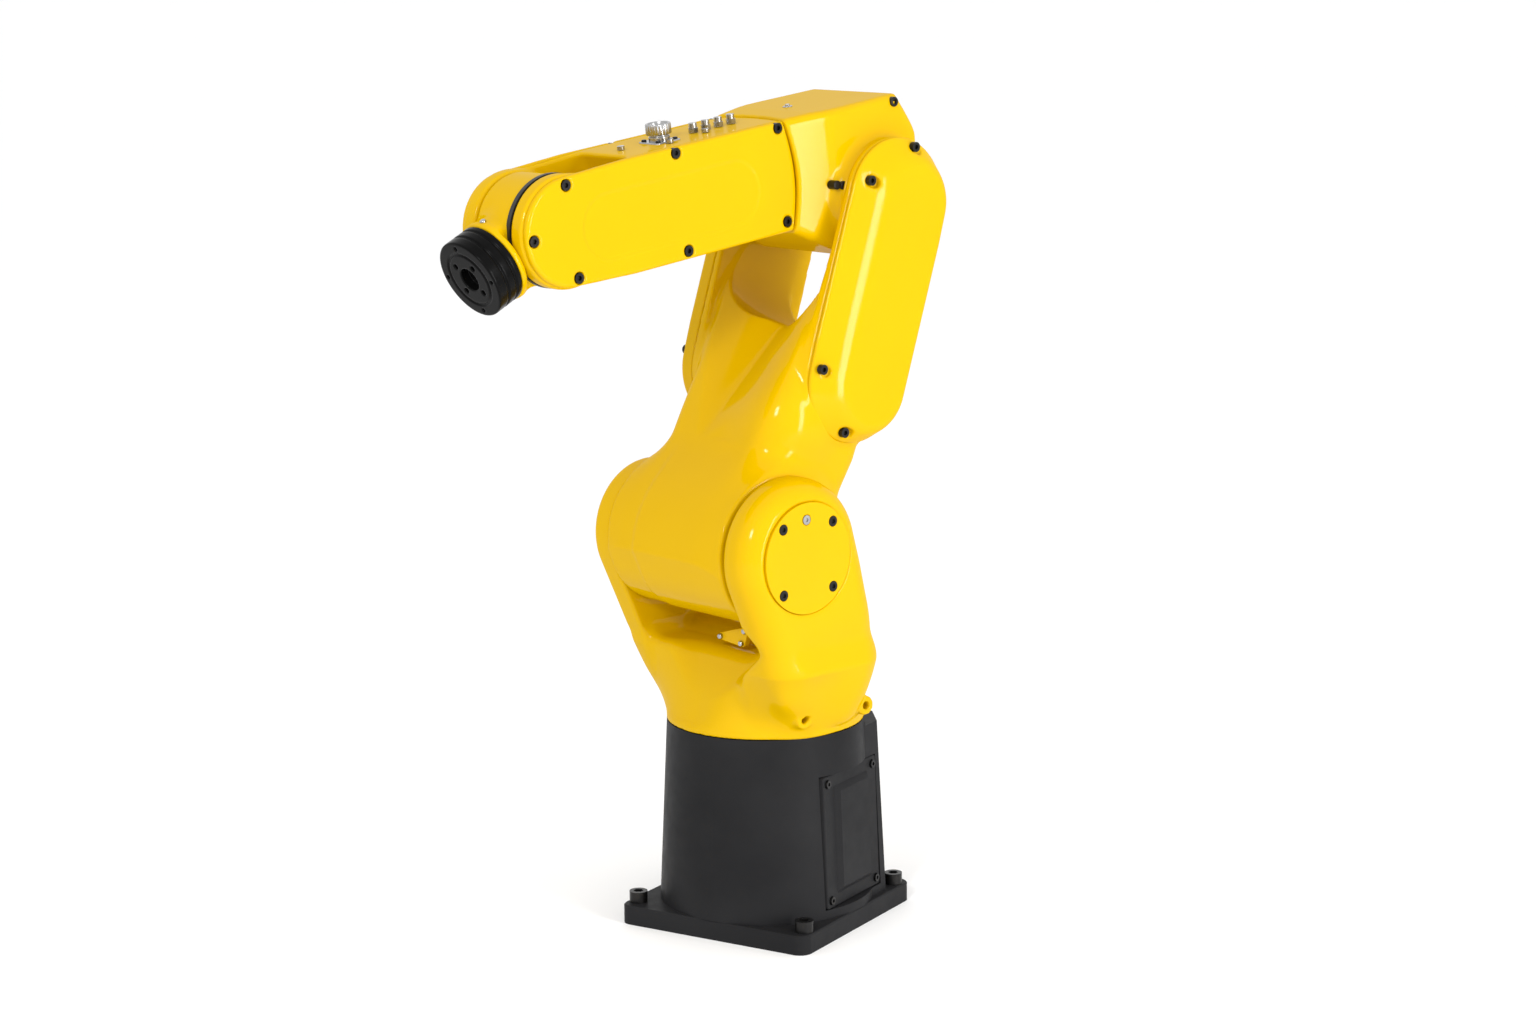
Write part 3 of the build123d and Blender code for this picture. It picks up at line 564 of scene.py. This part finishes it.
def prong_cover(name, side, shoulder_at, outer, top, seat, round_r, replaced):
    """A long cover with a bevel round its edge, and slots for its screws.

    side is 1 on the left and -1 on the right. The bevel runs from shoulder_at out to the outer face,
    whose outline is top, and the screws sit at seat.
    """
    low_y, high_y = sorted((side * 74, side * (outer + 3)))
    g = Grid((-80, low_y, 100), (60, high_y, 378), cell=1.4)
    x, y, z = g.x, g.y * side, g.z
    outline, inner = hull(x, z, *PRONGS), hull(x, z, *top)
    t = np.clip((y - shoulder_at) / (outer - shoulder_at), 0, 1)
    shape = both((outline * (1 - t) + inner * t) * 0.8, y - outer, round_r)
    shape = both(shape, WALL + 0.2 - y)
    for ahead, along in SCREW_SPOTS:
        slot = both(hull(x, z, (ahead, along, SLOT_R), (ahead - SLOT_RUN, along, SLOT_R)), seat - y)
        shape = without(shape, slot, 0.8)
    casting(name, shape, g, arm_link, "lower_arm", YELLOW, "yellow_paint", replaced)


prong_cover("left_cover_shell", 1, shoulder_at=79, outer=92,
            top=((-13, ARM_LENGTH, 37), (-33, 160, 37)), seat=82.5, round_r=4.5,
            replaced="left_prong_cover")
prong_cover("right_cover_shell", -1, shoulder_at=88, outer=97,
            top=((-2, ARM_LENGTH, 46.5), (-22, 160, 46.5)), seat=89, round_r=4,
            replaced="right_prong_cover")

# ---------------------------------------------------------------- elbow
RISE = WRIST[1]
HALF_HEIGHT = 48
TOP, BOTTOM = RISE + HALF_HEIGHT, RISE - HALF_HEIGHT
SEAM = 87.4                 # how far ahead of the elbow the forearm begins
SEAM_SLOPE = 0.38
SEAM_R = 43.6
SEAM_DISH = 5.5
SEAM_SHIFT = 0.3
SEAM_CLEAR = 0.35           # half the open gap between the elbow and the forearm


def seam_of(x, y, z):
    """How far a point lies ahead of the dished seam between elbow and forearm."""
    return x - SEAM + SEAM_SHIFT + (np.hypot(y, z - RISE) - SEAM_R) * -SEAM_SLOPE + SEAM_DISH


def elbow_housing():
    """The elbow: a box that narrows towards the forearm, on a round hub."""
    g = Grid((-64, -70, -53), (98, 70, 88), cell=1.7)
    x, y, z = g.x, g.y, g.z
    side = hull(x, z, (90, TOP - 3, 3), (-33, TOP - 1.3, 2.5), (-44, 44, 12), (-34, 2, 16), (-18, -26, 18),
                (34, -26, 18), (62, BOTTOM + 4, 4), (90, BOTTOM + 4, 4))
    plan = hull(x, y, (92, -37, 8), (45, -50, 8), (-48, -45, 10), (-48, 45, 10), (45, 50, 8), (92, 37, 8))
    box = both(side, plan, 7)
    hub = both(np.hypot(x, z) - 50, between(y, -66.8, 66.8), 2)
    whole = either(box, hub, 9)
    whole = both(whole, seam_of(x, y, z) + SEAM_CLEAR, 2.2)
    casting("elbow_casting", whole, g, forearm_link, "elbow", YELLOW, "yellow_paint", "elbow_housing")


elbow_housing()

# ---------------------------------------------------------------- forearm
wx, wz = WRIST
FACE, COVER = 43.6, 5.6      # the covers' outer face, and their thickness
WRIST_END_R = 44.5
ROOF = TOP - 2.7
PANEL_R = 27
POCKET_R, POCKET_DEPTH = 5.2, 4.5
AXLE_ROOM_R = 20.2
SIDE_SCREWS = [(wx - 1, wz + 38), (wx - 117, wz + 42), (95, wz + 42), (95, wz - 38), (wx - 119, wz - 40),
               (wx - 3, wz - 38), (wx + 37, wz)]


def forearm_side(name, side, replaced):
    """A side cover: a flat plate with a round wrist end, soft edges and a shallow long panel."""
    inner = FACE - COVER
    low, high = sorted((side * (inner - 2), side * (FACE + 3)))
    g = Grid((78, low, -18), (wx + 52, high, 88), cell=1.3)
    x, y, z = g.x, g.y * side, g.z
    outline = hull(x, z, (wx, wz, WRIST_END_R), (84, TOP - 5, 4), (84, BOTTOM + 5, 4))
    plate = both(both(outline, y - FACE, 3.0), inner - y)
    plate = both(plate, -seam_of(x, y, z) + SEAM_CLEAR, 1.2)
    panel = both(hull(x, z, (wx - 40, wz - 3, PANEL_R), (150, wz - 3, PANEL_R)), FACE - 0.7 - y)
    plate = without(plate, panel, 0.6)
    for ahead, up in SIDE_SCREWS:
        pocket = both(np.hypot(x - ahead, z - up) - POCKET_R, FACE - POCKET_DEPTH - y)
        plate = without(plate, pocket, 0.5)
    casting(name, plate, g, forearm_link, "forearm", YELLOW, "yellow_paint", replaced)


forearm_side("forearm_left_shell", 1, "forearm_left_cover")
forearm_side("forearm_right_shell", -1, "forearm_right_cover")


def forearm_body():
    """The middle of the forearm: a box with a sloped pocket on top and a fork for the wrist."""
    half = FACE - COVER - 0.2
    g = Grid((54, -half - 3, -16), (wx + 50, half + 3, 86), cell=1.6)
    x, y, z = g.x, g.y, g.z
    side = hull(x, z, (wx, wz, WRIST_END_R - 1), (84, TOP - 5.2, 4), (84, BOTTOM + 5.2, 4))
    body = both(side, between(y, -half, half), 1.5)
    body = both(body, -seam_of(x, y, z) + SEAM_CLEAR, 1.2)
    from_wrist = np.hypot(x - wx, z - wz)
    sweep = both(from_wrist - 88, between(y, -34.4, 34.4), 10)
    body = without(body, sweep, 3)
    pocket = hull(x, z, (wx - 30, TOP + 20, 22), (wx - 66, TOP + 12, 14), (wx - 84, TOP + 16, 10))
    body = without(body, both(pocket, between(y, -31, 31), 5), 2)
    cheek = both(from_wrist - 46.4, between(np.abs(y), 24, 38), 3)
    body = either(body, cheek, 4)
    axle_room = both(from_wrist - AXLE_ROOM_R, between(y, -35, 35))
    body = without(body, axle_room)
    tube = both(np.hypot(y, z - wz) - 30, between(x, 56, 96))
    body = np.minimum(body, tube)
    casting("forearm_casting", body, g, forearm_link, "forearm", YELLOW, "yellow_paint", "forearm_frame")


forearm_body()

# ---------------------------------------------------------------- wrist
NECK_R = 34
WRIST_BORE_R = 16.1


def wrist_casting():
    """The wrist: a hub between the fork's cheeks, a neck and the flange's collar."""
    g = Grid((-48, -37, -48), (54.5, 37, 48), cell=1.4)
    x, y, z = g.x, g.y, g.z
    round_neck = np.hypot(y, z)
    hub = both(np.hypot(x, z) - 45, between(y, -23.4, 18.9), 3)
    neck = both(both(round_neck - NECK_R, between(y, -21.5, 20), 4), between(x, 0, 50))
    collar = both(round_neck - NECK_R, between(x, 46.5, 52), 1.2)
    axle = both(np.hypot(x, z) - 20, between(y, -33.8, 33.8), 1)
    whole = either(either(hub, neck, 5), collar, 4)
    whole = np.minimum(whole, axle)
    whole = without(whole, both(round_neck - WRIST_BORE_R, 26 - x))
    casting("wrist_casting", whole, g, wrist_link, "wrist", YELLOW, "yellow_paint", "wrist_body")


wrist_casting()


def flange():
    """The tool flange: a grooved rim, and a face with a ring groove, a centre bore and tapped holes."""
    start, end, rim = 52.3, 78.0, 34.0
    bore_r = 10
    tapped, dowelled = (15.75, 2.4, 0), (28.6, 1.7, np.pi / 4)     # ring radius, hole radius and turn
    g = Grid((start - 1, -rim - 1, -rim - 1), (end + 1, rim + 1, rim + 1), cell=0.75)
    x, y, z = g.x, g.y, g.z
    radius = np.hypot(y, z)
    disc = both(radius - rim, between(x, start, end), 1.3)
    for middle in (58.4, 67.6):
        disc = without(disc, both(rim - 1.2 - radius, np.abs(x - middle) - 1.0), 0.5)
    disc = without(disc, both(between(radius, 22.4, 24.4), end - 1.1 - x), 0.5)
    disc = without(disc, both(radius - bore_r, end - 8 - x), 0.7)
    for k in range(4):
        turn = np.pi / 4 + k * np.pi / 2
        for ring_r, hole_r, spin in (tapped, dowelled):
            cy, cz = ring_r * np.cos(turn + spin), ring_r * np.sin(turn + spin)
            disc = without(disc, both(np.hypot(y - cy, z - cz) - hole_r, end - 6 - x), 0.5)
    casting("flange_disc", disc, g, wrist_link, "flange", FLANGE_BLACK, "flange_metal", "tool_flange")


flange()


def collar_screw():
    """A bright screw on top of the wrist, behind the collar."""
    profile = [(0, 3.2), (1.8, 3.2), (2.6, 2.4), (2.6, 0), (1.7, 0), (1.7, -3), (0, -3)]
    spot = wrist_link.matrix((46, 3, 33.5), wrist_link.up)
    lathe("collar_screw", profile, spot, "wrist", NICKEL, steps=32)


collar_screw()

# ---------------------------------------------------------------- fittings on the elbow and forearm


def elbow_stop():
    """The elbow's stop: two black screw heads side by side."""
    head_r, low_y, high_y = 3.9, 55.0, 64.5
    for k, (ahead, up) in enumerate(((53.6, 21.5), (45.6, 19.6))):
        outline = ([(ahead, up, head_r)], low_y, high_y)
        head = prism(f"elbow_stop_screw_{k + 1}", outline, forearm_link, "elbow", BLACK_OXIDE, "black_screw")
    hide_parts("elbow_stop")


elbow_stop()


def elbow_screws():
    """A bright vent screw on the elbow's roof and a black screw by its rear corner."""
    vent_profile = [(0, 3.8), (1.9, 3.8), (2.1, 3.6), (2.1, 2.4), (4.0, 2.2), (4.3, 1.8), (4.3, -1), (0, -1)]
    vent_spot = forearm_link.matrix((44, 0, TOP - 0.3), forearm_link.up)
    vent = lathe("elbow_vent", vent_profile, vent_spot, "elbow", NICKEL, steps=32)
    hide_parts("elbow_screws")
    socket_head = [(0, 1.6), (1.9, 1.6), (2.2, 4), (3.8, 4), (4.3, 3.5), (4.3, -4), (0, -4)]
    corner = forearm_link.matrix((-28, 54, TOP - 5), LEFT)
    lathe("elbow_corner_screw", socket_head, corner, "elbow", BLACK_OXIDE, steps=32)


elbow_screws()


CONNECTOR = (192, 4)         # the connector's middle, ahead of and to the left of the elbow
FLUTES, FLUTE_DEPTH = 24, 0.045
FLUTED_FROM = 10.3           # the cap's rim beyond this radius is fluted


def flute(cap, spot):
    """Presses flutes into the rim of the connector's cap."""
    to_spot = spot.inverted()
    for vertex in cap.data.vertices:
        local = to_spot @ vertex.co
        if np.hypot(local.x, local.y) / MM > FLUTED_FROM:
            wave = 0.5 - 0.5 * np.cos(FLUTES * np.arctan2(local.y, local.x))
            shrink = 1 - FLUTE_DEPTH * wave
            vertex.co = spot @ Vector((local.x * shrink, local.y * shrink, local.z))


def tool_connector():
    """The multi-pin connector on the forearm's roof: square flange, neck and fluted cap."""
    spot = forearm_link.matrix((*CONNECTOR, ROOF), forearm_link.up)
    profile = [(0, -2), (9, -2), (9, 6), (8.2, 6.4), (8.2, 7.4), (10.6, 7.8), (10.9, 8.4), (10.9, 16.2),
               (10.2, 17), (8.8, 17), (8.4, 16.4), (8.4, 12.5), (0, 12.5)]
    cap = lathe("connector_cap", profile, spot, "forearm", NICKEL)
    flute(cap, spot)
    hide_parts("tool_connector")
    g = Grid((178, -10, ROOF - 3), (206, 18, ROOF + 4), cell=0.6)
    plan = hull(g.x, g.y, (181.5, -6.5, 2.5), (202.5, -6.5, 2.5), (202.5, 14.5, 2.5), (181.5, 14.5, 2.5))
    plate = both(plan, between(g.z, ROOF - 2, ROOF + 2.6), 0.6)
    casting("connector_flange", plate, g, forearm_link, "forearm", NICKEL, "bright_metal")
    head = [(0, 4.2), (1.7, 4.2), (2.2, 3.7), (2.2, 2.0), (0, 2.0)]
    for k, (ahead, leftwards) in enumerate(((182.8, -5.2), (201.2, -5.2), (201.2, 13.2), (182.8, 13.2))):
        screw_spot = forearm_link.matrix((ahead, leftwards, ROOF), forearm_link.up)
        lathe(f"connector_screw_{k + 1}", head, screw_spot, "forearm", BLACK_OXIDE, steps=24)


tool_connector()

# ---------------------------------------------------------------- stage, light and camera
bpy.ops.mesh.primitive_plane_add(size=60, location=(0, 0, 0))
floor = bpy.context.object
floor.name = "floor"
floor_paint, floor_shader, floor_place = new_material("pale_floor")
floor_paint.node_tree.links.new(
    colours(floor_paint, noise(floor_paint, floor_place, 2.0), (0.95, 0.95, 0.95), (0.94, 0.94, 0.94)),
    floor_shader.inputs["Base Color"])
floor_shader.inputs["Roughness"].default_value = 0.75
floor.data.materials.append(floor_paint)

CAMERA_AT = Vector((2.321667, 1.409450, 0.882501))
CAMERA_LOOK = Vector((-0.84029301, -0.50845655, -0.18809462))
CAMERA_UP = Vector((-0.16550319, -0.08979899, 0.98211243))
camera = bpy.data.objects.new("camera", bpy.data.cameras.new("camera"))
bpy.context.scene.collection.objects.link(camera)
camera.data.sensor_width = 36.0
camera.data.lens = 74.28
camera_axes = Matrix((CAMERA_LOOK.cross(CAMERA_UP), CAMERA_UP, -CAMERA_LOOK)).transposed()
camera.matrix_world = Matrix.Translation(CAMERA_AT) @ camera_axes.to_4x4()
bpy.context.scene.camera = camera


def softbox(name, place, target, size, power):
    """A rectangular area light that faces the target, in metres and watts."""
    data = bpy.data.lights.new(name, "AREA")
    data.shape = "RECTANGLE"
    data.size, data.size_y = size
    data.energy = power
    light = bpy.data.objects.new(name, data)
    light.location = place
    light.rotation_mode = "QUATERNION"
    light.rotation_quaternion = (Vector(target) - Vector(place)).to_track_quat("-Z", "Y")
    bpy.context.scene.collection.objects.link(light)


MIDDLE = (0.05, 0.0, 0.4)
softbox("side", place=(0.42, 2.3, 0.60), target=MIDDLE, size=(0.42, 1.5), power=38)
softbox("front", place=(2.0, 0.45, 1.45), target=MIDDLE, size=(0.28, 0.42), power=18)

world = bpy.data.worlds.new("studio")
world.use_nodes = True
sky = world.node_tree.nodes["Background"]
sky.inputs["Color"].default_value = (1, 1, 1, 1)
sky.inputs["Strength"].default_value = 1.06
bpy.context.scene.world = world
bpy.context.scene.view_settings.view_transform = "Standard"
